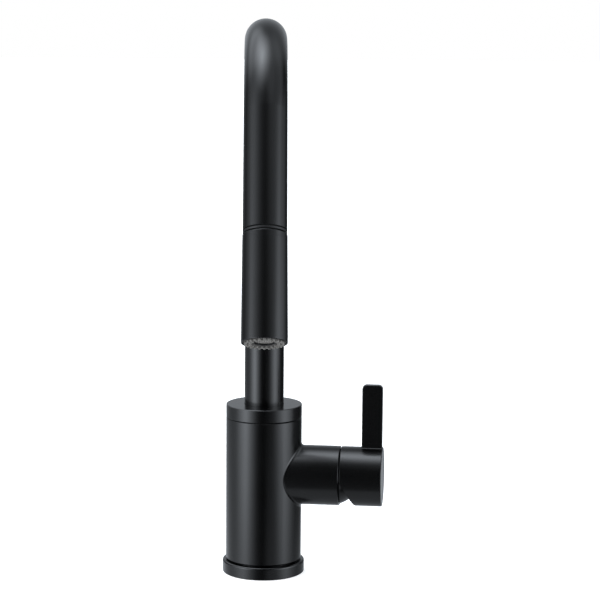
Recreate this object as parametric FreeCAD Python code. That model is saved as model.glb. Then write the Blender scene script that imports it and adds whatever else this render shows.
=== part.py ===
import FreeCAD, Part
import math
import os

# Single-handle pull-down gooseneck kitchen faucet, millimetres.
# Origin: centre of the base on the deck plane, +Z up, handle axis along +X,
# spout towards -Y (turned spout_turn degrees towards the handle at rest).

V = FreeCAD.Vector
os.makedirs("parts", exist_ok=True)

# ----------------------------------------------------------------- dimensions
tube_r = 14.3            # spout tube, 28.6 mm (1 1/8 in) outside
tube_wall = 1.6
body_r = 27.65           # main body
flange_r = 30.0          # deck ring
flange_h = 9.1
reveal_h = 1.1           # shadow gap between deck ring and body
body_top = 115.1
collar_bot = 115.5
collar_top = 125.0
passage_r = 7.0          # hose passage down the middle of the body
hose_r = 6.0
hose_bore_r = 3.6

spout_turn = 7.0         # rest angle of the swivel about +Z
arc_z = 316.3            # where the riser ends and the arc begins
arc_r = 73.5             # centre-line radius of the gooseneck
arc_deg = 156.5
leg_len = 81.1           # straight run after the arc, to the seam plane
tube_end = -0.4          # tube mouth, measured along the leg from the seam plane
head_t0 = 2.6            # top face of the spray head
head_t1 = 73.55          # mouth rim of the spray head
head_r0 = 14.5
head_r1 = 14.85

axis_z = 72.8            # handle axis height
boss_r = 21.75
boss_end = 56.25
hub_r = 21.65
hub_x0 = 57.15
hub_x1 = 87.25
hub_cut_deg = 27.5       # slant cut under the hub, a little more than the lever's 25 degree tilt
pivot_x = 50.0           # lever pivot inside the cartridge
seat_x = 24.5            # cartridge seat in the side boss
dome_r = 21.4            # bonnet sphere about the pivot
blade_x0 = 71.75
blade_x1 = 86.75
blade_t = 5.5
blade_top = 140.9
blade_corner = 3.2
blade_foot = 1.0         # concave fillet where the blade stands on the hub

inlet_pos = (7.6, 10.8)  # hot +Y, cold -Y
inlet_r = 4.46           # M10x1 minor radius
outlet_pos = (14.0, 0.0)
outlet_r = 3.9
stud_pos = (-11.5, 9.6)  # two M6 mounting studs
stud_r = 2.5

nozzle_rings = ((11.85, 24), (9.35, 18))
face_t = 73.2            # outlet face plane, just inside the rim

X = V(1, 0, 0)
Y = V(0, 1, 0)
Z = V(0, 0, 1)
O = V(0, 0, 0)


# -------------------------------------------------------------------- helpers
def rounded_wire(pts, plane="xz"):
    """Closed wire through (a, b[, radius]) corners, rounding those with a radius."""
    n = len(pts)
    P = [FreeCAD.Vector(p[0], p[1], 0) for p in pts]
    R = [p[2] if len(p) > 2 else 0.0 for p in pts]
    seq = []
    for i in range(n):
        p, a, b = P[i], P[i - 1], P[(i + 1) % n]
        if R[i] <= 0:
            seq.append((p, None, p))
            continue
        u = (a - p).normalize()
        w = (b - p).normalize()
        ang = u.getAngle(w)
        d = R[i] / math.tan(ang / 2.0)
        t1, t2 = p + u * d, p + w * d
        bis = (u + w).normalize()
        c = p + bis * (R[i] / math.sin(ang / 2.0))
        seq.append((t1, c - bis * R[i], t2))

    def put(v):
        return V(v.x, 0, v.y) if plane == "xz" else V(v.x, v.y, 0)

    edges = []
    for i in range(n):
        t1, m, t2 = seq[i]
        if m is not None:
            edges.append(Part.Arc(put(t1), put(m), put(t2)).toShape())
        nxt = seq[(i + 1) % n][0]
        if t2.distanceToPoint(nxt) > 1e-7:
            edges.append(Part.LineSegment(put(t2), put(nxt)).toShape())
    return Part.Wire(edges)


def lathe(pts):
    """Solid of revolution about Z from (r, z[, radius]) corners."""
    face = Part.Face(rounded_wire(pts))
    return face.revolve(O, Z, 360)


def lathe_wire(edges):
    return Part.Face(Part.Wire(edges)).revolve(O, Z, 360)


def cyl(r, z0, z1, x=0.0, y=0.0):
    return Part.makeCylinder(r, z1 - z0, V(x, y, z0), Z)


def ring(r0, r1, z0, z1):
    return cyl(r1, z0, z1).cut(cyl(r0, z0 - 1, z1 + 1))


def cx(r, x0, x1, y=0.0, dz=0.0):
    """Cylinder along the handle axis."""
    return Part.makeCylinder(r, x1 - x0, V(x0, y, axis_z + dz), X)


def to_axis(shape):
    """Turn a shape made about Z so that it lies about the handle axis."""
    s = shape.copy()
    s.rotate(O, Y, 90)
    s.translate(V(0, 0, axis_z))
    return s


def box(x0, x1, y0, y1, z0, z1):
    return Part.makeBox(x1 - x0, y1 - y0, z1 - z0, V(x0, y0, z0))


def torus(R, r, z):
    return Part.makeTorus(R, r, V(0, 0, z), Z)


def turn_spout(shape):
    s = shape.copy()
    s.rotate(O, Z, spout_turn)
    return s


arc_a = math.radians(arc_deg)
leg_dir = V(0, -math.sin(arc_a), math.cos(arc_a))
arc_end = V(0, -arc_r * (1 - math.cos(arc_a)), arc_z + arc_r * math.sin(arc_a))
seam = arc_end + leg_dir * leg_len


def on_leg(shape):
    """Place a shape made about Z (z = distance past the seam plane) on the leg.

    Local +Y ends up on the side that faces away from the riser."""
    s = shape.copy()
    s.rotate(O, X, arc_deg)
    s.translate(seam)
    return turn_spout(s)


def pipe_arc(r_out, r_in):
    """The gooseneck bend, a revolved annulus (or disc)."""
    c = V(0, 0, arc_z)
    f = Part.Face(Part.Wire(Part.makeCircle(r_out, c, Z)))
    if r_in > 0:
        f = f.cut(Part.Face(Part.Wire(Part.makeCircle(r_in, c, Z))))
    return f.revolve(V(0, -arc_r, arc_z), X, arc_deg)


def leg_cyl(r, t0, t1):
    s = Part.makeCylinder(r, t1 - t0, V(0, 0, t0), Z)
    s.rotate(O, X, arc_deg)
    s.translate(seam)
    return s


def round_edges(shape, r, test):
    es = [e for e in shape.Edges if test(e)]
    return shape.makeFillet(r, es) if es else shape


def export(name, shape):
    solids = shape.Solids
    out = solids[0] if len(solids) == 1 else Part.makeCompound(solids)
    if not out.isValid():
        print("not valid:", name)
    out.exportStep("parts/%s.step" % name)
    made.append((name, len(solids), round(out.Volume, 1)))


made = []

# ------------------------------------------------------------------ deck ring
base_flange = lathe([
    (24.1, 0.0), (25.25, 0.0), (25.25, 2.2), (28.15, 2.2), (28.15, 0.0),
    (flange_r, 0.0, 0.45), (flange_r, flange_h, 1.3), (24.1, flange_h, 0.2)])
export("base_flange", base_flange)

base_gasket = lathe([(25.3, 0.0), (28.1, 0.0), (28.1, 2.2), (27.2, 2.2), (26.7, 1.9), (26.2, 2.2), (25.3, 2.2)])
export("base_gasket", base_gasket)

# ----------------------------------------------------------------- main body
outer = lathe([(0, 0), (24.0, 0.0, 0.4), (24.0, flange_h + reveal_h),
               (body_r, flange_h + reveal_h, 0.5), (body_r, body_top, 0.35), (0, body_top)])
boss = to_axis(lathe([(0, 5), (boss_r, 5), (boss_r, boss_end, 0.6), (0, boss_end)]))
body = outer.fuse(boss)


def junction(e):
    # the saddle curve where the side boss leaves the round body
    bb = e.BoundBox
    p = e.valueAt((e.FirstParameter + e.LastParameter) / 2.0)
    on_body = abs(math.hypot(p.x, p.y) - body_r) < 0.05
    on_boss = abs(math.hypot(p.y, p.z - axis_z) - boss_r) < 0.05
    return on_body and on_boss


body = round_edges(body, 2.0, junction)
cuts = [
    cyl(passage_r, -1, 95),
    cyl(18.0, 88.0, 104.5),
    cyl(22.5, 104.0, body_top + 1),
    cx(17.6, seat_x, boss_end + 1),
    cx(19.0, 45.0, boss_end + 1),
]
for sy in (1, -1):
    hx, hy = inlet_pos[0], sy * inlet_pos[1]
    cuts += [cyl(inlet_r, -1, 12.0, hx, hy), cyl(3.5, 11.0, 67.0, hx, hy),
             Part.makeSphere(3.5, V(hx, hy, 67.0)),
             cx(3.0, hx, seat_x + 1, sy * 9.5, 67.0 - axis_z)]
    cuts.append(cyl(stud_r, -1, 14.0, stud_pos[0], sy * stud_pos[1]))
ox = outlet_pos[0]
cuts += [cyl(outlet_r, -1, 11.0, ox, 0), cyl(3.0, 10.0, 80.8, ox, 0),
         Part.makeSphere(3.0, V(ox, 0, 80.8)), cx(3.0, ox, seat_x + 1, 0, 80.8 - axis_z)]
for c in cuts:
    body = body.cut(c)
export("faucet_body", body)

# ------------------------------------------------------------ swivel collar
collar = lathe([
    (tube_r + 0.07, 119.0), (18.1, 119.0), (18.1, 105.0), (22.4, 105.0), (22.4, collar_bot),
    (body_r, collar_bot, 0.35), (body_r, collar_top - 0.4), (body_r - 0.4, collar_top),
    (tube_r + 0.07, collar_top, 0.25)])
export("swivel_collar", collar)

swivel_bush = lathe([(15.06, 94.6), (17.95, 94.6), (17.95, 111.95), (15.06, 111.95)])
export("swivel_bush", swivel_bush)

# ------------------------------------------------------- spout, hose, swivel
spout_post = lathe([
    (7.5, 91.4), (15.0, 91.4, 0.5), (15.0, 93.0), (14.2, 93.0), (14.2, 94.3), (15.0, 94.3),
    (15.0, 97.6), (12.65, 97.6), (12.65, 100.2), (15.0, 100.2),
    (15.0, 104.6), (12.65, 104.6), (12.65, 107.2), (15.0, 107.2),
    (15.0, 112.0), (17.7, 112.0), (17.7, 118.1), (12.6, 118.1), (12.6, 132.0, 0.6), (7.5, 132.0)])
export("spout_post", turn_spout(spout_post))

retainer = lathe([(14.25, 93.05), (16.9, 93.05), (16.9, 94.25), (14.25, 94.25)])
retainer = retainer.cut(box(-2.6, 2.6, 0, 20, 90, 97))
export("spout_retaining_ring", turn_spout(retainer))

export("spout_orings", turn_spout(Part.makeCompound([torus(13.85, 1.14, 98.9), torus(13.85, 1.14, 105.9)])))

thrust = lathe([(tube_r + 0.1, 118.15), (17.8, 118.15), (17.8, 118.95), (tube_r + 0.1, 118.95)])
export("spout_thrust_washer", turn_spout(thrust))

inner_r = tube_r - tube_wall
tube_outer = cyl(tube_r, 118.1, arc_z).fuse([pipe_arc(tube_r, 0), leg_cyl(tube_r, -leg_len, tube_end)])
tube_inner = cyl(inner_r, 117.0, arc_z).fuse([pipe_arc(inner_r, 0), leg_cyl(inner_r, -leg_len, tube_end + 1)])
spout_tube = tube_outer.cut(tube_inner).removeSplitter()
export("spout_tube", turn_spout(spout_tube))

# Pull-out hose: one line from the deck to the spray head, in three stretches
# that meet face to face at the swivel and near the end of the leg.
hose_split = -62.0
body_hose = cyl(hose_r, 0.0, 90.0).cut(cyl(hose_bore_r, -1, 91))
export("hose_in_body", body_hose)
sp_outer = cyl(hose_r, 90.0, arc_z).fuse([pipe_arc(hose_r, 0), leg_cyl(hose_r, -leg_len, hose_split)])
sp_inner = cyl(hose_bore_r, 89.0, arc_z).fuse([pipe_arc(hose_bore_r, 0), leg_cyl(hose_bore_r, -leg_len, hose_split + 1)])
export("hose_in_spout", turn_spout(sp_outer.cut(sp_inner).removeSplitter()))
export("hose_pull_end", on_leg(ring(hose_bore_r, hose_r, hose_split, -24.0)))
export("hose_ferrule", on_leg(lathe([
    (6.02, -38.0), (7.4, -38.0, 0.3), (7.4, -35.5), (7.1, -35.0), (7.1, -31.5), (7.4, -31.0), (7.4, -28.5),
    (7.1, -28.0), (7.1, -25.5), (7.4, -25.0), (7.4, -22.0, 0.3), (6.02, -22.0)])))
export("hose_tail", on_leg(lathe([
    (2.6, -23.95), (5.95, -23.95), (5.95, -20.0), (5.0, -19.2), (5.0, -9.0), (6.0, -9.0), (6.0, -7.6), (5.1, -7.6),
    (5.1, -6.2), (6.0, -6.2), (6.0, -4.6), (2.6, -4.6)])))
export("hose_tail_oring", on_leg(torus(5.75, 0.62, -6.9)))

# dock ring in the mouth of the spout: its thin rim shows between two grooves
dock = lathe([
    (10.5, -20.0), (12.65, -20.0), (12.65, 0.5), (tube_r - 0.05, 0.5, 0.12), (tube_r - 0.05, 1.8, 0.12), (10.5, 1.8, 0.3)])
export("dock_ring", on_leg(dock))

# --------------------------------------------------------------- spray head
neck = lathe([
    (8.25, -15.0), (10.4, -15.0, 0.5), (10.4, 1.85), (9.0, 1.85), (9.0, 14.0), (3.0, 14.0), (3.0, 10.0), (5.6, 10.0),
    (5.6, -4.0), (6.44, -4.0), (6.44, -9.0), (8.25, -9.0)])
export("head_neck", on_leg(neck))

hex_nut = lathe([(5.06, -19.0), (8.9, -19.0, 0.3), (8.9, -15.1), (8.2, -15.1), (8.2, -9.05), (5.06, -9.05)])
hex_cut = Part.makeCompound([])
hp = [V(9.4 * math.cos(math.radians(60 * k)), 9.4 * math.sin(math.radians(60 * k)), -20) for k in range(7)]
hexa = Part.Face(Part.makePolygon(hp)).extrude(V(0, 0, 4.85))
nut = hex_nut.common(hexa.fuse(cyl(8.3, -15.2, -9.0)))
export("hose_nut", on_leg(nut))

check_valve = lathe([(2.2, -3.9), (5.55, -3.9, 0.3), (5.55, -1.2), (4.9, -1.2), (4.9, 0.4), (5.55, 0.4), (5.55, 9.9, 0.3),
                     (3.4, 9.9), (3.4, 3.0), (2.2, 2.0)])
export("check_valve", on_leg(check_valve))


def head_shell_outer():
    return lathe([(0, 1.85), (12.4, 1.85), (12.4, head_t0), (head_r0 - 0.06, head_t0, 0.55), (head_r0, 7.0),
                  (head_r1, head_t1, 0.45), (0, head_t1)])


shell = head_shell_outer()
shell = shell.cut(lathe([(0, 5.2), (12.35, 5.2, 0.5), (12.5, 60.0), (13.6, 63.0), (13.6, head_t1 + 1), (0, head_t1 + 1)]))
shell = shell.cut(cyl(9.05, 0, 7))


def slot_y(x_half, t0, t1, y0, y1, r):
    """Long rounded slot through the wall: rounded rectangle in x and t, from y0 to y1."""
    f = Part.Face(rounded_wire([(-x_half, t0, r), (x_half, t0, r), (x_half, t1, r), (-x_half, t1, r)]))
    f.translate(V(0, y0, 0))
    return f.extrude(V(0, y1 - y0, 0))


shell = shell.cut(slot_y(4.1, 17.9, 34.1, -20, -8, 3.9))
export("head_shell", on_leg(shell))

core = lathe([(9.05, 5.3), (12.1, 5.3, 0.4), (12.2, 60.0), (0.0, 60.0), (0, 14.1), (9.05, 14.1)])
core = core.cut(cyl(2.6, 13, 61))
core = core.cut(slot_y(5.3, 16.4, 35.6, -14.0, -7.6, 4.9))
core = core.cut(Part.makeCylinder(2.66, 18.0, V(0, -9.0, 26.0), Y))
for k in range(6):
    a = math.radians(60 * k + 30)
    core = core.cut(cyl(1.3, 38.0, 61.0, 9.0 * math.cos(a), 9.0 * math.sin(a)))
export("waterway_core", on_leg(core))

button = slot_y(3.9, 18.1, 33.9, -16.2, -11.2, 3.7).common(Part.makeCylinder(15.6, 30, V(0, 0, 12), Z))
button = button.fuse(slot_y(4.9, 16.9, 35.1, -11.2, -10.3, 4.5))
btn_grip = Part.makeCylinder(14.0, 8.0, V(-4.0, -28.55, 26.0), X)
button = button.cut(btn_grip)
export("spray_button", on_leg(button))
spool = Part.makeCylinder(2.6, 3.0, V(0, -10.3, 26.0), Y)
spool = spool.fuse(Part.makeCylinder(1.5, 9.0, V(0, -8.0, 26.0), Y)).fuse(Part.makeCylinder(2.6, 3.0, V(0, 0.0, 26.0), Y))
spool = spool.fuse(Part.makeCylinder(2.6, 2.0, V(0, -6.0, 26.0), Y))
export("diverter_spool", on_leg(spool))
spr = lathe([(2.9, 0.0), (3.3, 0.0), (5.0, 2.3), (4.6, 2.6)])
spr.rotate(O, X, 90)
spr.translate(V(0, -7.65, 26.0))
export("button_spring", on_leg(spr))

plate = lathe([(7.5, 68.2), (13.5, 68.2), (13.5, face_t - 1.3), (7.5, face_t - 1.3)])
pad = lathe([(7.5, face_t - 1.25), (13.5, face_t - 1.25), (13.5, face_t, 0.3), (7.5, face_t, 0.2)])
tips = []
for rr, n in nozzle_rings:
    for k in range(n):
        a = 2 * math.pi * k / n
        px, py = rr * math.cos(a), rr * math.sin(a)
        plate = plate.cut(cyl(0.55, 68, 73, px, py))
        tips.append(Part.makeCone(0.95, 0.74, 1.45, V(px, py, face_t - 0.05), Z))
pad = pad.fuse(tips)
for rr, n in nozzle_rings:
    for k in range(n):
        a = 2 * math.pi * k / n
        pad = pad.cut(cyl(0.34, 71, 75.5, rr * math.cos(a), rr * math.sin(a)))
export("nozzle_plate", on_leg(plate))
export("nozzle_pad", on_leg(pad))

aer = lathe([(6.7, 60.1), (7.4, 60.1), (7.4, face_t + 0.15, 0.2), (6.7, face_t + 0.15, 0.2)])
export("aerator_housing", on_leg(aer))
mesh = cyl(6.65, 71.2, 72.0)
step = 1.5
for i in range(-4, 5):
    for j in range(-4, 5):
        if math.hypot(i * step, j * step) < 5.6:
            mesh = mesh.cut(box(i * step - 0.5, i * step + 0.5, j * step - 0.5, j * step + 0.5, 70, 73))
export("aerator_screen", on_leg(mesh))

# ------------------------------------------------- cartridge in the side boss
base = cx(17.4, 26.0, 31.0)
for y, dz in ((9.5, -5.8), (-9.5, -5.8), (0, 8.0)):
    base = base.cut(cx(2.9, 25, 32, y, dz))
export("cartridge_base", base)
seals = []
for y, dz in ((9.5, -5.8), (-9.5, -5.8), (0, 8.0)):
    seals.append(Part.makeTorus(4.1, 0.74, V(25.25, y, axis_z + dz), X))
export("port_seals", Part.makeCompound(seals))
disc = cx(13.6, 31.0, 34.5)
for y, dz in ((7.6, -5.0), (-7.6, -5.0), (0, 8.0)):
    disc = disc.cut(cx(2.6, 30, 35, y, dz))
export("ceramic_disc_fixed", disc)
moving = cx(11.5, 34.52, 37.5, 0, -1.9).cut(cx(7.2, 34, 36.2, 0, -1.9))
export("ceramic_disc_moving", moving)
# the stem's ball sits in a pocket of the carrier, 8.8 mm below the lever's pivot
carrier = cx(11.5, 37.5, 44.0, 0, -1.9).cut(cx(2.95, 38.0, 45.0, 0, 0))
export("disc_carrier", carrier)
# the lip at the top of the wide bore keeps the rotor's flange in
housing = to_axis(lathe([(13.65, 31.0), (17.5, 31.0), (17.5, 46.4, 0.4), (14.8, 46.4), (14.8, 53.0, 0.4), (12.06, 53.0),
                         (12.06, 46.05), (13.65, 46.05)]))
export("cartridge_housing", housing)
nut2 = to_axis(lathe([(14.95, 46.5), (18.9, 46.5), (18.9, 54.0), (17.6, 54.0), (17.6, 55.5), (14.95, 55.5)]))
for k in range(6):
    a = math.radians(60 * k)
    s = cx(1.6, 52.5, 56.0, 16.9 * math.cos(a), 16.9 * math.sin(a))
    nut2 = nut2.cut(s)
export("cartridge_nut", nut2)

# domed bonnet, a zone of a sphere about the lever's pivot
q = boss_end + 0.05
ro = math.sqrt(dome_r ** 2 - (q - pivot_x) ** 2)
ai = dome_r - 2.2


def sph(r, deg):
    a = math.radians(deg)
    return V(r * math.sin(a), 0, pivot_x + r * math.cos(a))


top_deg = 40.0
bot_deg = math.degrees(math.acos((q - pivot_x) / dome_r))
in_bot = math.degrees(math.acos((q - pivot_x) / ai))
p1 = sph(dome_r, bot_deg)
p2 = sph(dome_r, top_deg)
p3 = sph(ai, top_deg)
p4 = sph(ai, in_bot)
w = [Part.Arc(p1, sph(dome_r, (bot_deg + top_deg) / 2), p2).toShape(),
     Part.LineSegment(p2, p3).toShape(),
     Part.Arc(p3, sph(ai, (in_bot + top_deg) / 2), p4).toShape(),
     Part.LineSegment(p4, V(p4.x, 0, 55.6)).toShape(),
     Part.LineSegment(V(p4.x, 0, 55.6), V(18.9, 0, 55.6)).toShape(),
     Part.LineSegment(V(18.9, 0, 55.6), V(18.9, 0, q)).toShape(),
     Part.LineSegment(V(18.9, 0, q), p1).toShape()]
# a shadow groove runs round its foot, between the side boss and the hub
export("bonnet_dome", to_axis(lathe_wire(w).cut(ring(19.6, 23.0, boss_end, hub_x0 - 0.1))))

rotor = cx(12.0, 44.2, 54.0).fuse(cx(13.5, 44.2, 46.0))
# the lever's slot, (x, z) about the pivot: room for the 7 mm bar upright and fully open
poly = [(-10.0, -3.7), (0.0, -4.25), (6.5, -7.5), (6.5, 3.75), (0.0, 4.25), (-10.0, 9.3)]
pf =Part.Face(Part.makePolygon([V(pivot_x + a, -3.6, axis_z + b) for a, b in poly + poly[:1]]))
rotor = rotor.cut(pf.extrude(V(0, 7.2, 0)))
rotor = rotor.cut(Part.makeCylinder(1.25, 30, V(pivot_x, -15, axis_z), Y))
export("cartridge_rotor", rotor)
export("pivot_pin", Part.makeCylinder(1.25, 20.0, V(pivot_x, -10, axis_z), Y))

stem = box(46.5, 78.5, -3.5, 3.5, axis_z - 3.5, axis_z + 3.5)
stem = stem.fuse(cx(1.6, 42.0, 47.0)).fuse(Part.makeSphere(2.8, V(pivot_x - 8.8, 0, axis_z)))
stem = stem.cut(Part.makeCylinder(1.31, 30, V(pivot_x, -15, axis_z), Y))
export("cartridge_stem", stem)

# ---------------------------------------------------------------- handle
hub = to_axis(lathe([(0, hub_x0), (hub_r, hub_x0, 0.2), (hub_r, hub_x1, 0.55), (0, hub_x1)]))
hub = hub.cut(Part.makeSphere(dome_r + 0.35, V(pivot_x, 0, axis_z)))
ct = math.tan(math.radians(hub_cut_deg))
wedge = [V(hub_x0 - 5, -30, axis_z), V(hub_x0, -30, axis_z), V(hub_x0 + 25 * ct, -30, axis_z - 25), V(hub_x0 - 5, -30, axis_z - 25)]
hub = hub.cut(Part.Face(Part.makePolygon(wedge + wedge[:1])).extrude(V(0, 60, 0)))
hub = hub.cut(box(60, 79.0, -3.53, 3.53, axis_z - 3.53, axis_z + 3.53))
hub = hub.cut(Part.makeCylinder(2.1, 30, V(75.0, 3.5, axis_z), Y))
hub = hub.cut(Part.makeCylinder(2.9, 10, V(75.0, 18.2, axis_z), Y))
tenon = box(75.0, 83.5, -1.75, 1.75, axis_z + 14.5, axis_z + hub_r + 1.0)
hub = hub.cut(tenon)
export("handle_hub", hub)

bf = Part.Face(rounded_wire([(blade_x0, axis_z + 15.0), (blade_x1, axis_z + 15.0), (blade_x1, blade_top, blade_corner),
                             (blade_x0, blade_top, blade_corner)]))
bf.translate(V(0, -blade_t / 2, 0))
blade = bf.extrude(V(0, blade_t, 0))
blade = round_edges(blade, 0.55, lambda e: abs(abs(e.BoundBox.YMin) - blade_t / 2) < 0.01 and abs(e.BoundBox.YMax - e.BoundBox.YMin) < 0.01
                    and e.BoundBox.ZMax > axis_z + 16)


def foot(side):
    """Concave fillet along the blade's foot: tangent to its face and to the round hub."""
    cy, rr = blade_t / 2 + blade_foot, hub_r + blade_foot
    cz = math.sqrt(rr ** 2 - cy ** 2)
    by, bz = cy * hub_r / rr, cz * hub_r / rr
    my, mz = -1.0 - cy / rr, -cz / rr
    ml = math.hypot(my, mz)

    def at(y, z):
        return V(blade_x0, side * y, axis_z + z)

    arc = Part.Arc(at(cy - blade_foot, cz), at(cy + blade_foot * my / ml, cz + blade_foot * mz / ml), at(by, bz)).toShape()
    low = hub_r - 2.5
    wire = [arc, Part.LineSegment(at(by, bz), at(by, low)).toShape(), Part.LineSegment(at(by, low), at(1.5, low)).toShape(),
            Part.LineSegment(at(1.5, low), at(1.5, cz)).toShape(), Part.LineSegment(at(1.5, cz), at(cy - blade_foot, cz)).toShape()]
    return Part.Face(Part.Wire(wire)).extrude(V(blade_x1 - blade_x0, 0, 0))


blade = blade.fuse([foot(1), foot(-1)])
blade = blade.cut(cx(hub_r, 60, 100))
blade = blade.fuse(box(75.0, 83.5, -1.75, 1.75, axis_z + 14.6, axis_z + hub_r + 0.5)).removeSplitter()
export("handle_blade", blade)

screw = Part.makeCylinder(2.1, 7.0, V(75.0, 3.5, axis_z), Y).cut(
    Part.Face(Part.makePolygon([V(75 + 1.2 * math.cos(math.radians(60 * k)), 8.0, axis_z + 1.2 * math.sin(math.radians(60 * k)))
                                for k in range(7)])).extrude(V(0, 4, 0)))
export("handle_set_screw", screw)
plug = Part.makeCylinder(2.88, 4.0, V(75.0, 18.25, axis_z), Y).common(cx(hub_r, 60, 90))
export("set_screw_plug", plug)

for m in made:
    print(m)
print("nodes", len(made))
print("seam", [round(v, 3) for v in turn_spout(Part.Vertex(seam)).Point], "dir",
      [round(v, 5) for v in (leg_dir.x, leg_dir.y, leg_dir.z)])
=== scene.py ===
import bpy
import bmesh
import math
from mathutils import Matrix, Vector


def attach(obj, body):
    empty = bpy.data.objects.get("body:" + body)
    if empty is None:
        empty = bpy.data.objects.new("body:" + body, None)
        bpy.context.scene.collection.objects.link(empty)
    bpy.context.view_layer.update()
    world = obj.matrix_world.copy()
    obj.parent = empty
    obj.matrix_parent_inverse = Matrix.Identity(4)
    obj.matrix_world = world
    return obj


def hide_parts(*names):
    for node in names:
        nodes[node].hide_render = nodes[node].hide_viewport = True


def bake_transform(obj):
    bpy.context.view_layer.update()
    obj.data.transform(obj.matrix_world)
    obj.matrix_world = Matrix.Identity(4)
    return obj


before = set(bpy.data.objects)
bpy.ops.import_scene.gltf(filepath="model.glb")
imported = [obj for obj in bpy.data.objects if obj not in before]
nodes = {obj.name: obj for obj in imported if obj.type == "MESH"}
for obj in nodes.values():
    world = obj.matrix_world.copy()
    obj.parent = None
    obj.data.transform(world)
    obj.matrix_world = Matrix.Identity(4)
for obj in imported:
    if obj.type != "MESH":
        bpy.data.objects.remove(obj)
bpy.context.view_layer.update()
scene = bpy.context.scene

# ------------------------------------------------------------------ key sizes (metres)
SEAM = Vector((0.021113, -0.171951, 0.271235))        # where the spray head meets the spout
LEG = Vector((0.048595, -0.395778, -0.91706)).normalized()   # down the end of the spout
BACK = Vector((0.111761, -0.910224, 0.39875)).normalized()   # away from the riser, square to LEG
SIDE = BACK.cross(LEG).normalized()
SPOUT_TURN = math.radians(7.0)
ARC_Z, ARC_R, ARC_A, LEG_LEN = 0.3163, 0.0735, math.radians(156.5), 0.0811
PULL = 0.150
HOSE_R, HOSE_BORE = 0.0060, 0.0036


def leg_point(t):
    """A point on the spout's end axis, t metres past the seam plane."""
    return SEAM + LEG * t


# ------------------------------------------------------------------------- camera
def make_camera():
    data = bpy.data.cameras.new("studio_camera")
    data.lens = 123.3148
    data.sensor_width = 36.0
    data.sensor_fit = "HORIZONTAL"
    data.dof.use_dof = False
    data.clip_start, data.clip_end = 0.05, 50.0
    cam = bpy.data.objects.new("studio_camera", data)
    scene.collection.objects.link(cam)
    right = Vector((0.99432, 0.106148, 0.007791))
    up = Vector((-0.023265, 0.145332, 0.989109))
    back = right.cross(up).normalized()
    m = Matrix((right, up, back)).transposed().to_4x4()
    m.translation = Vector((0.179992, -1.461431, 0.420082))
    cam.matrix_world = m
    scene.camera = cam
    return cam


make_camera()


# ------------------------------------------------------------------ node helpers
def material(name):
    m = bpy.data.materials.new(name)
    m.use_nodes = True
    nt = m.node_tree
    for n in list(nt.nodes):
        nt.nodes.remove(n)
    out = nt.nodes.new("ShaderNodeOutputMaterial")
    bsdf = nt.nodes.new("ShaderNodeBsdfPrincipled")
    nt.links.new(bsdf.outputs["BSDF"], out.inputs["Surface"])
    return m, nt, bsdf


def node(nt, kind, **props):
    n = nt.nodes.new(kind)
    for k, v in props.items():
        setattr(n, k, v)
    return n


def noise(nt, vec, scale, detail=3.0, rough=0.5, dims="3D"):
    n = node(nt, "ShaderNodeTexNoise", noise_dimensions=dims)
    n.inputs["Scale"].default_value = scale
    n.inputs["Detail"].default_value = detail
    n.inputs["Roughness"].default_value = rough
    nt.links.new(vec, n.inputs["Vector"])
    return n.outputs["Fac"]


def ramp(nt, fac, stops):
    r = node(nt, "ShaderNodeValToRGB")
    el = r.color_ramp.elements
    while len(el) > len(stops):
        el.remove(el[-1])
    while len(el) < len(stops):
        el.new(0.5)
    for e, (p, c) in zip(el, stops):
        e.position = p
        e.color = (*c, 1.0) if len(c) == 3 else c
    nt.links.new(fac, r.inputs["Fac"])
    return r.outputs["Color"]


def span(nt, fac, a, b, c, d):
    r = node(nt, "ShaderNodeMapRange")
    r.inputs["From Min"].default_value = a
    r.inputs["From Max"].default_value = b
    r.inputs["To Min"].default_value = c
    r.inputs["To Max"].default_value = d
    nt.links.new(fac, r.inputs["Value"])
    return r.outputs["Result"]


def calc(nt, op, a, b=None, c=None):
    n = node(nt, "ShaderNodeMath", operation=op)
    for k, v in enumerate((a, b, c)):
        if v is None:
            continue
        if isinstance(v, (int, float)):
            n.inputs[k].default_value = v
        else:
            nt.links.new(v, n.inputs[k])
    return n.outputs[0]


def blend_colour(nt, fac, a, b):
    n = node(nt, "ShaderNodeMix", data_type="RGBA")
    nt.links.new(fac, n.inputs["Factor"])
    for socket, v in ((n.inputs[6], a), (n.inputs[7], b)):
        if isinstance(v, tuple):
            socket.default_value = (*v, 1.0)
        else:
            nt.links.new(v, socket)
    return n.outputs[2]


def bump(nt, bsdf, height, strength, distance, normal=None):
    b = node(nt, "ShaderNodeBump")
    b.inputs["Strength"].default_value = strength
    b.inputs["Distance"].default_value = distance
    nt.links.new(height, b.inputs["Height"])
    if normal is not None:
        nt.links.new(normal, b.inputs["Normal"])
    nt.links.new(b.outputs["Normal"], bsdf.inputs["Normal"])
    return b.outputs["Normal"]


def coords(nt, what="Object"):
    return node(nt, "ShaderNodeTexCoord").outputs[what]


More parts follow.
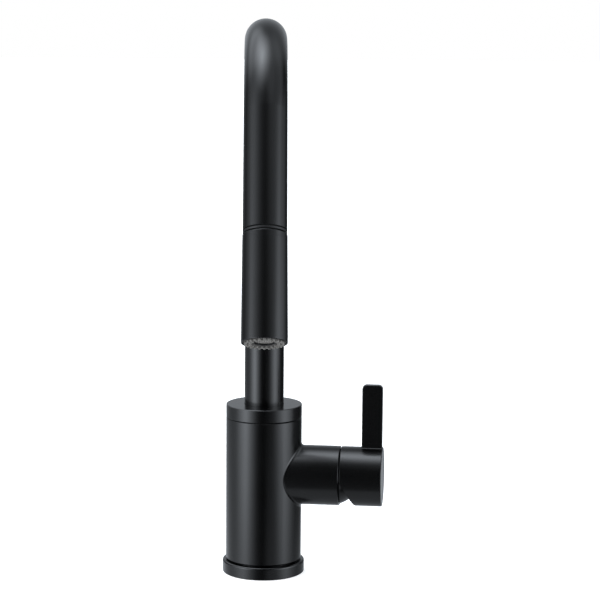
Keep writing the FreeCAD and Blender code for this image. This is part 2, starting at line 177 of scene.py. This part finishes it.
# --------------------------------------------------------------------- materials
def leg_gap(nt, pos):
    """1 in the shadow grooves beside the dock ring: nearer than 13.2 mm to the leg's axis, or on the tube's end face."""
    off = node(nt, "ShaderNodeVectorMath", operation="SUBTRACT")
    nt.links.new(pos, off.inputs[0])
    off.inputs[1].default_value = tuple(SEAM)
    cross = node(nt, "ShaderNodeVectorMath", operation="CROSS_PRODUCT")
    nt.links.new(off.outputs["Vector"], cross.inputs[0])
    cross.inputs[1].default_value = tuple(LEG)
    away = node(nt, "ShaderNodeVectorMath", operation="LENGTH")
    nt.links.new(cross.outputs["Vector"], away.inputs[0])
    along = node(nt, "ShaderNodeVectorMath", operation="DOT_PRODUCT")
    nt.links.new(off.outputs["Vector"], along.inputs[0])
    along.inputs[1].default_value = tuple(LEG)
    t = along.outputs["Value"]
    near = calc(nt, "MAXIMUM", span(nt, away.outputs["Value"], 0.0132, 0.0136, 1.0, 0.0), span(nt, t, 0.0003, 0.0004, 1.0, 0.0))
    ring = calc(nt, "MULTIPLY", near, span(nt, t, -0.00046, -0.00042, 0.0, 1.0))
    return calc(nt, "MULTIPLY", ring, span(nt, away.outputs["Value"], 0.0155, 0.0160, 1.0, 0.0))


def foot_gap(nt, pos):
    """1 in the shadow groove round the bonnet's foot."""
    sep = node(nt, "ShaderNodeSeparateXYZ")
    nt.links.new(pos, sep.inputs[0])
    return span(nt, sep.outputs[0], 0.05704, 0.05708, 1.0, 0.0)


def matte_black(name, lo=0.0003, hi=0.0007, r_lo=0.21, r_hi=0.24, grain=2600.0, ior=1.45, tint=1.06, gap=None):
    """Satin black coating: near-black film with a fine orange-peel grain and faint handling marks.

    Where gap is 1 the coating is dull and dusty, as it is in a narrow seam."""
    m, nt, bsdf = material(name)
    pos = coords(nt)
    cloud = noise(nt, pos, 38.0, 4.0, 0.55)
    col = ramp(nt, cloud, [(0.3, (lo, lo, lo * tint)), (0.7, (hi, hi, hi * tint))])
    nt.links.new(col, bsdf.inputs["Base Color"])
    smear = noise(nt, pos, 21.0, 5.0, 0.6)
    rough = span(nt, smear, 0.3, 0.7, r_lo, r_hi)
    if gap is not None:
        rough = calc(nt, "MAXIMUM", rough, calc(nt, "MULTIPLY", gap(nt, pos), 0.95))
    nt.links.new(rough, bsdf.inputs["Roughness"])
    peel = noise(nt, pos, grain, 2.0, 0.5)
    bump(nt, bsdf, peel, 0.10, 0.00003)
    bsdf.inputs["IOR"].default_value = ior
    return m


def soft_rubber(name, lo, hi, r=0.62, grain=1800.0):
    m, nt, bsdf = material(name)
    pos = coords(nt)
    cloud = noise(nt, pos, 260.0, 3.0, 0.5)
    nt.links.new(ramp(nt, cloud, [(0.3, lo), (0.7, hi)]), bsdf.inputs["Base Color"])
    nt.links.new(span(nt, noise(nt, pos, 90.0, 3.0), 0.3, 0.7, r - 0.06, r + 0.06), bsdf.inputs["Roughness"])
    bump(nt, bsdf, noise(nt, pos, grain, 2.0), 0.2, 0.00004)
    bsdf.inputs["IOR"].default_value = 1.42
    return m


def spray_rubber(name):
    """Grey silicone: the flat of the pad is painted darker than the tips that stand out of it, as painted shade in the
    gaps between the tips.
    """
    m, nt, bsdf = material(name)
    pos = coords(nt)
    cloud = noise(nt, pos, 420.0, 3.0, 0.5)
    flat = ramp(nt, cloud, [(0.3, (0.046, 0.044, 0.041)), (0.7, (0.062, 0.059, 0.055))])
    tip = ramp(nt, cloud, [(0.3, (0.118, 0.113, 0.105)), (0.7, (0.150, 0.143, 0.133))])
    dot = node(nt, "ShaderNodeVectorMath", operation="DOT_PRODUCT")
    nt.links.new(pos, dot.inputs[0])
    dot.inputs[1].default_value = tuple(LEG)
    face = SEAM.dot(LEG) + 0.0732
    # mask: 0 on the flat of the pad, 1 on the tips; the flat's darker colour is painted shade between the tips
    up = span(nt, dot.outputs["Value"], face + 0.00010, face + 0.00060, 0.0, 1.0)
    nt.links.new(blend_colour(nt, up, flat, tip), bsdf.inputs["Base Color"])
    nt.links.new(span(nt, noise(nt, pos, 90.0, 3.0), 0.3, 0.7, 0.52, 0.64), bsdf.inputs["Roughness"])
    bump(nt, bsdf, noise(nt, pos, 1800.0, 2.0), 0.2, 0.00004)
    bsdf.inputs["IOR"].default_value = 1.42
    return m


def moulded(name, lo, hi, r_lo=0.35, r_hi=0.48, grain=1500.0):
    m, nt, bsdf = material(name)
    pos = coords(nt)
    cloud = noise(nt, pos, 70.0, 3.0, 0.5)
    nt.links.new(ramp(nt, cloud, [(0.3, lo), (0.7, hi)]), bsdf.inputs["Base Color"])
    nt.links.new(span(nt, noise(nt, pos, 45.0, 4.0), 0.3, 0.7, r_lo, r_hi), bsdf.inputs["Roughness"])
    bump(nt, bsdf, noise(nt, pos, grain, 2.0), 0.12, 0.00004)
    bsdf.inputs["IOR"].default_value = 1.46
    return m


def turned_metal(name, lo, hi, r_lo=0.18, r_hi=0.3, lines=(0, 0, 3500.0)):
    """Lathe-turned metal: fine grooves square to the part's axis."""
    m, nt, bsdf = material(name)
    pos = coords(nt)
    cloud = noise(nt, pos, 120.0, 3.0)
    nt.links.new(ramp(nt, cloud, [(0.3, lo), (0.7, hi)]), bsdf.inputs["Base Color"])
    mp = node(nt, "ShaderNodeMapping")
    mp.inputs["Scale"].default_value = [max(v, 60.0) for v in lines]
    nt.links.new(pos, mp.inputs["Vector"])
    groove = noise(nt, mp.outputs["Vector"], 1.0, 2.0)
    nt.links.new(span(nt, groove, 0.3, 0.7, r_lo, r_hi), bsdf.inputs["Roughness"])
    bump(nt, bsdf, groove, 0.15, 0.00003)
    bsdf.inputs["Metallic"].default_value = 1.0
    return m


def braided_nylon(name, around=24.0):
    """Two sets of flat yarns that cross over and under each other, in the tube's UV map (v in turns of the girth)."""
    m, nt, bsdf = material(name)
    uv = node(nt, "ShaderNodeUVMap", uv_map="along").outputs[0]
    sep = node(nt, "ShaderNodeSeparateXYZ")
    nt.links.new(uv, sep.inputs[0])
    a = calc(nt, "MULTIPLY", sep.outputs[0], around)
    b = calc(nt, "MULTIPLY", sep.outputs[1], around * 0.72)
    p, q = calc(nt, "ADD", a, b), calc(nt, "SUBTRACT", a, b)

    def yarn(x):
        f = calc(nt, "SUBTRACT", calc(nt, "MULTIPLY", calc(nt, "FRACT", x), 2.0), 1.0)
        return calc(nt, "SUBTRACT", 1.0, calc(nt, "MULTIPLY", f, f))

    over = calc(nt, "MODULO", calc(nt, "ADD", calc(nt, "FLOOR", p), calc(nt, "ADD", calc(nt, "FLOOR", q), 400.0)), 2.0)
    high = calc(nt, "MULTIPLY", yarn(p), over)
    low = calc(nt, "MULTIPLY", yarn(q), calc(nt, "SUBTRACT", 1.0, over))
    h = calc(nt, "POWER", calc(nt, "ADD", high, low), 0.6)
    fuzz = noise(nt, coords(nt), 2400.0, 3.0)
    # the yarns are painted darker towards their edges, as painted shade in the grooves of the weave; the fuzz noise
    # adds random tone
    weave_shade_and_fuzz = calc(nt, "MULTIPLY", h, span(nt, fuzz, 0.3, 0.7, 0.75, 1.0))
    nt.links.new(ramp(nt, weave_shade_and_fuzz, [(0.05, (0.010, 0.010, 0.011)), (0.6, (0.046, 0.047, 0.050)), (1.0, (0.085, 0.087, 0.092))]), bsdf.inputs["Base Color"])
    nt.links.new(span(nt, h, 0.0, 1.0, 0.7, 0.45), bsdf.inputs["Roughness"])
    bump(nt, bsdf, calc(nt, "ADD", h, calc(nt, "MULTIPLY", fuzz, 0.2)), 0.8, 0.00025)
    bsdf.inputs["IOR"].default_value = 1.5
    return m


BLACK = matte_black("satin_black")
BLACK_TUBE = matte_black("satin_black_tube", gap=leg_gap)
BLACK_DOME = matte_black("satin_black_dome", gap=foot_gap)
BLACK_HEAD = matte_black("satin_black_head", r_lo=0.215, r_hi=0.245, grain=2200.0, gap=leg_gap)
BLACK_RING = matte_black("black_ring", lo=0.003, hi=0.005, r_lo=0.36, r_hi=0.43, grain=1500.0, gap=leg_gap)
BLACK_SOFT = matte_black("black_moulding", lo=0.003, hi=0.005, r_lo=0.38, r_hi=0.45, grain=1500.0)
FACE = spray_rubber("nozzle_silicone")
SEAL = soft_rubber("black_rubber", (0.016, 0.016, 0.017), (0.026, 0.026, 0.027), r=0.7)
GREY = moulded("grey_moulding", (0.13, 0.135, 0.13), (0.17, 0.175, 0.17))
GAUZE = moulded("grey_gauze", (0.125, 0.120, 0.112), (0.165, 0.158, 0.148))
WHITE = moulded("white_acetal", (0.74, 0.74, 0.72), (0.82, 0.82, 0.80), r_lo=0.28, r_hi=0.4)
CERAMIC = moulded("lapped_ceramic", (0.84, 0.83, 0.79), (0.90, 0.89, 0.85), r_lo=0.12, r_hi=0.2)
BRASS = turned_metal("turned_brass", (0.66, 0.50, 0.24), (0.76, 0.60, 0.32))
STEEL = turned_metal("stainless", (0.52, 0.52, 0.53), (0.64, 0.64, 0.65))
BRAID = braided_nylon("braided_nylon")

looks = {
    "faucet_body": BLACK, "base_flange": BLACK, "swivel_collar": BLACK, "spout_tube": BLACK_TUBE, "handle_hub": BLACK,
    "handle_blade": BLACK, "bonnet_dome": BLACK_DOME, "head_shell": BLACK_HEAD, "dock_ring": BLACK_RING, "spray_button": BLACK_SOFT,
    "set_screw_plug": BLACK_SOFT, "aerator_housing": BLACK_SOFT, "base_gasket": SEAL, "port_seals": SEAL, "spout_orings": SEAL,
    "hose_tail_oring": SEAL, "nozzle_pad": FACE, "swivel_bush": WHITE, "spout_thrust_washer": WHITE, "cartridge_base": WHITE,
    "cartridge_housing": WHITE, "head_neck": GREY, "check_valve": WHITE, "waterway_core": GREY, "nozzle_plate": GREY,
    "cartridge_rotor": WHITE, "disc_carrier": WHITE, "diverter_spool": WHITE, "hose_in_body": SEAL, "hose_in_spout": SEAL,
    "hose_pull_end": SEAL, "hose_ferrule": BRASS, "hose_tail": BRASS, "hose_nut": BRASS, "spout_post": BRASS,
    "cartridge_nut": BRASS, "spout_retaining_ring": STEEL, "button_spring": STEEL, "pivot_pin": STEEL, "cartridge_stem": STEEL,
    "handle_set_screw": STEEL, "aerator_screen": GAUZE, "ceramic_disc_fixed": CERAMIC, "ceramic_disc_moving": CERAMIC,
}
for name, ob in nodes.items():
    mat = looks[name]
    if not ob.material_slots:
        ob.data.materials.append(mat)
    for s in ob.material_slots:
        s.material = mat


# ---------------------------------------------------------------- pull-out hose
def hose_path(s):
    """(point, direction) on the hose's line, s metres before the seam plane along it (0 at the seam)."""
    if s <= LEG_LEN:
        p, d = leg_point(-s), LEG.copy()
        return p, d
    a = ARC_A - (s - LEG_LEN) / ARC_R
    if a >= 0.0:
        y, z = -ARC_R * (1 - math.cos(a)), ARC_Z + ARC_R * math.sin(a)
        dy, dz = -math.sin(a), math.cos(a)
    else:
        y, z = 0.0, ARC_Z + a * ARC_R
        dy, dz = 0.0, 1.0
    c, sn = math.cos(SPOUT_TURN), math.sin(SPOUT_TURN)
    return Vector((-y * sn, y * c, z)), Vector((-dy * sn, dy * c, dz))


def hose_tube(name, stations, turns, vs, seg=40):
    """A tube with its bore and end faces along the stations [(point, direction)], UVs in turns of the girth."""
    me = bpy.data.meshes.new(name)
    bm = bmesh.new()
    uv = bm.loops.layers.uv.new("along")
    side = SIDE if turns is None else turns
    outer, inner = [], []
    for p, d in stations:
        e1 = (side - d * side.dot(d)).normalized()
        e2 = d.cross(e1)
        ring_o, ring_i = [], []
        for k in range(seg):
            a = 2 * math.pi * k / seg
            u = e1 * math.cos(a) + e2 * math.sin(a)
            ring_o.append(bm.verts.new(p + u * HOSE_R))
            ring_i.append(bm.verts.new(p + u * HOSE_BORE))
        outer.append(ring_o)
        inner.append(ring_i)

    def face(vv, uvs, smooth=True):
        f = bm.faces.new(vv)
        f.smooth = smooth
        for lp, c in zip(f.loops, uvs):
            lp[uv].uv = c

    for i in range(len(stations) - 1):
        for k in range(seg):
            j = (k + 1) % seg
            u0, u1 = k / seg, (k + 1) / seg
            face((outer[i][k], outer[i][j], outer[i + 1][j], outer[i + 1][k]), ((u0, vs[i]), (u1, vs[i]), (u1, vs[i + 1]), (u0, vs[i + 1])))
            face((inner[i][j], inner[i][k], inner[i + 1][k], inner[i + 1][j]), ((u1, vs[i]), (u0, vs[i]), (u0, vs[i + 1]), (u1, vs[i + 1])))
    for i, flip in ((0, True), (len(stations) - 1, False)):
        for k in range(seg):
            j = (k + 1) % seg
            u0, u1 = k / seg, (k + 1) / seg
            q = (outer[i][k], outer[i][j], inner[i][j], inner[i][k])
            c = ((u0, vs[i]), (u1, vs[i]), (u1, vs[i] + 0.05), (u0, vs[i] + 0.05))
            face(tuple(reversed(q)) if flip else q, tuple(reversed(c)) if flip else c, smooth=False)
    bmesh.ops.recalc_face_normals(bm, faces=bm.faces)
    bm.to_mesh(me)
    bm.free()
    ob = bpy.data.objects.new(name, me)
    scene.collection.objects.link(ob)
    me.materials.append(BRAID)
    return ob


GIRTH = 2 * math.pi * HOSE_R


def make_hose():
    # in the body: straight up from the deck to the swivel
    n = 30
    st = [(Vector((0, 0, 0.090 * i / n)), Vector((0, 0, 1))) for i in range(n + 1)]
    low = hose_tube("hose_braid_body", st, Vector((1, 0, 0)), [p.z / GIRTH for p, d in st])
    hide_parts("hose_in_body")
    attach(low, "root")

    # in the spout: up the riser and round the bend, as far as the stretch that can come out
    start = 0.1085
    total = LEG_LEN + ARC_R * ARC_A + (ARC_Z - 0.090)
    n = 110
    ss = [total + (start - total) * i / n for i in range(n + 1)]
    st = [hose_path(s) for s in ss]
    mid = hose_tube("hose_braid_spout", st, None, [(total - s + 0.090) / GIRTH for s in ss])
    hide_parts("hose_in_spout")
    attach(mid, "spout")

    # the stretch that follows the spray head out of the spout
    s0, s1, s2 = start, 0.0885, 0.024
    ss = [s0 + (s1 - s0) * i / 48 for i in range(49)] + [s1 + (s2 - s1) * i / 20 for i in range(1, 21)]
    st = [hose_path(s) for s in ss]
    t_start = (st[0][0] - SEAM).dot(LEG)
    t_end = (st[48][0] - SEAM).dot(LEG)
    vs = []
    for p, d in st:
        t = (p - SEAM).dot(LEG)
        x = min(max((t - t_start) / (t_end - t_start), 0.0), 1.0)
        vs.append((t + PULL * x * x * (3 - 2 * x)) / GIRTH)
    end = hose_tube("hose_braid_pull", st, None, vs)
    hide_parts("hose_pull_end")
    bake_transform(end)


make_hose()


# ---------------------------------------------------------------- button spring
def make_button_spring():
    """The conical spring behind the spray button, which flattens as the button goes in."""
    across = LEG.cross(BACK)
    foot, n, seg = leg_point(0.026), 12, 72
    inner = [(0.0029 + 0.0017 * i / n, -0.00765 - 0.0026 * i / n) for i in range(n + 1)]
    outer = [(0.0050 - 0.0017 * i / n, -0.00995 + 0.0023 * i / n) for i in range(n + 1)]
    loop = inner + outer
    me = bpy.data.meshes.new("button_cone_spring")
    bm = bmesh.new()
    rings = []
    for k in range(seg):
        a = 2 * math.pi * k / seg
        u = LEG * math.cos(a) + across * math.sin(a)
        rings.append([bm.verts.new(foot + u * r + BACK * y) for r, y in loop])
    for k in range(seg):
        a, b = rings[k], rings[(k + 1) % seg]
        for i in range(len(loop)):
            j = (i + 1) % len(loop)
            f = bm.faces.new((a[i], a[j], b[j], b[i]))
            f.smooth = i != n and j != 0
    bmesh.ops.recalc_face_normals(bm, faces=bm.faces)
    bm.to_mesh(me)
    bm.free()
    ob = bpy.data.objects.new("button_cone_spring", me)
    scene.collection.objects.link(ob)
    me.materials.append(STEEL)
    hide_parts("button_spring")
    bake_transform(ob)


make_button_spring()


# ------------------------------------------------------------------- floor, light
def make_floor():
    me = bpy.data.meshes.new("studio_floor")
    bm = bmesh.new()
    bmesh.ops.create_circle(bm, cap_ends=True, segments=128, radius=12.0)
    bm.to_mesh(me)
    bm.free()
    ob = bpy.data.objects.new("studio_floor", me)
    scene.collection.objects.link(ob)
    ob.location = (0.0, 0.0, -0.0003)
    m, nt, bsdf = material("pale_floor")
    pos = coords(nt)
    nt.links.new(ramp(nt, noise(nt, pos, 3.0, 2.0), [(0.3, (0.80, 0.80, 0.80)), (0.7, (0.82, 0.82, 0.82))]), bsdf.inputs["Base Color"])
    bsdf.inputs["Roughness"].default_value = 0.9
    bsdf.inputs["IOR"].default_value = 1.2
    # a backlit white deck, so the object stands almost without a shadow
    bsdf.inputs["Emission Color"].default_value = (1.0, 1.0, 1.0, 1.0)
    bsdf.inputs["Emission Strength"].default_value = 0.7
    me.materials.append(m)
    # the strip lights reach below the level of the deck, as in a photograph on an open stand
    ob.visible_glossy = False
    ob.visible_shadow = False


# soft boxes, each (azimuth, elevation, half width, half height, edge softness across and up, strength); azimuth 0 is
# the camera's side and 90 the handle's side, all in degrees
BOXES = [
    (-49.7, 3.5, 5.2, 17.7, 36.0, 2.0, 8.8),
    (72.0, 3.6, 10.9, 18.1, 36.0, 8.2, 6.85),
    (100.5, 3.8, 9.8, 8.2, 40.0, 4.4, 2.24),
    (171.9, -23.9, 70.0, 8.4, 19.6, 2.0, 0.51),
]
# round soft lights, each (azimuth, elevation, radius, edge softness, strength)
DOMES = [
    (-98.0, 75.5, 6.0, 33.0, 11.4),
    (24.7, 71.0, 31.3, 6.0, 0.20),
    (-64.6, 31.2, 19.2, 40.8, 1.6),
    (-67.2, -22.9, 27.3, 46.7, 1.04),
    (88.8, 50.9, 38.7, 15.0, 0.64),
    (191.6, 47.3, 48.7, 6.0, 0.29),
    (-127.4, -69.8, 57.6, 6.0, 0.42),
    (26.4, -33.2, 17.0, 6.3, 0.83),
    (196.4, -6.1, 23.0, 29.7, 0.46),
    (-127.3, 43.5, 21.1, 9.4, 1.18),
    (176.0, -13.0, 12.0, 8.0, 0.30),
]
ROOM = 0.003


def make_world():
    """A dark studio with soft boxes, all at a great distance, so the floor is evenly lit."""
    w = bpy.data.worlds.new("studio")
    scene.world = w
    w.use_nodes = True
    nt = w.node_tree
    for n in list(nt.nodes):
        nt.nodes.remove(n)
    out = nt.nodes.new("ShaderNodeOutputWorld")
    sep = nt.nodes.new("ShaderNodeSeparateXYZ")
    nt.links.new(nt.nodes.new("ShaderNodeTexCoord").outputs["Generated"], sep.inputs[0])

    def fade(v, a, b, hi, lo=0.0):
        r = nt.nodes.new("ShaderNodeMapRange")
        r.interpolation_type = "SMOOTHSTEP"
        for k, x in (("From Min", a), ("From Max", b), ("To Min", hi), ("To Max", lo)):
            r.inputs[k].default_value = x
        nt.links.new(v, r.inputs["Value"])
        return r.outputs["Result"]

    x, y, z = sep.outputs
    az = calc(nt, "ARCTAN2", x, calc(nt, "MULTIPLY", y, -1.0))
    el = calc(nt, "ARCSINE", z)
    D = math.radians

    def soft_box(a0, e0, ha, he, soft_a, soft_e, strength):
        u = calc(nt, "ABSOLUTE", calc(nt, "WRAP", calc(nt, "SUBTRACT", az, D(a0)), math.pi, -math.pi))
        v = calc(nt, "ABSOLUTE", calc(nt, "SUBTRACT", el, D(e0)))
        return calc(nt, "MULTIPLY", fade(u, D(ha - soft_a), D(ha + soft_a), strength), fade(v, D(he - soft_e), D(he + soft_e), 1.0))

    def dome(a0, e0, r, soft, strength):
        d = (math.sin(D(a0)) * math.cos(D(e0)), -math.cos(D(a0)) * math.cos(D(e0)), math.sin(D(e0)))
        dot = calc(nt, "ADD", calc(nt, "ADD", calc(nt, "MULTIPLY", x, d[0]), calc(nt, "MULTIPLY", y, d[1])), calc(nt, "MULTIPLY", z, d[2]))
        ang = calc(nt, "ARCCOSINE", calc(nt, "MINIMUM", calc(nt, "MAXIMUM", dot, -1.0), 1.0))
        return fade(ang, D(r - soft), D(r + soft), strength)

    parts = [soft_box(*b) for b in BOXES] + [dome(*d) for d in DOMES]
    total = calc(nt, "ADD", parts[0], ROOM)
    for p in parts[1:]:
        total = calc(nt, "ADD", total, p)
    lit = nt.nodes.new("ShaderNodeBackground")
    lit.inputs["Color"].default_value = (0.945, 1.008, 1.085, 1)
    nt.links.new(total, lit.inputs["Strength"])
    seen = nt.nodes.new("ShaderNodeBackground")
    seen.inputs["Color"].default_value = (1.0, 1.0, 1.0, 1)
    seen.inputs["Strength"].default_value = 1.0
    mix = nt.nodes.new("ShaderNodeMixShader")
    nt.links.new(nt.nodes.new("ShaderNodeLightPath").outputs["Is Camera Ray"], mix.inputs[0])
    nt.links.new(lit.outputs[0], mix.inputs[1])
    nt.links.new(seen.outputs[0], mix.inputs[2])
    nt.links.new(mix.outputs[0], out.inputs["Surface"])


make_floor()
make_world()
scene.view_settings.view_transform = "Standard"
scene.view_settings.look = "None"
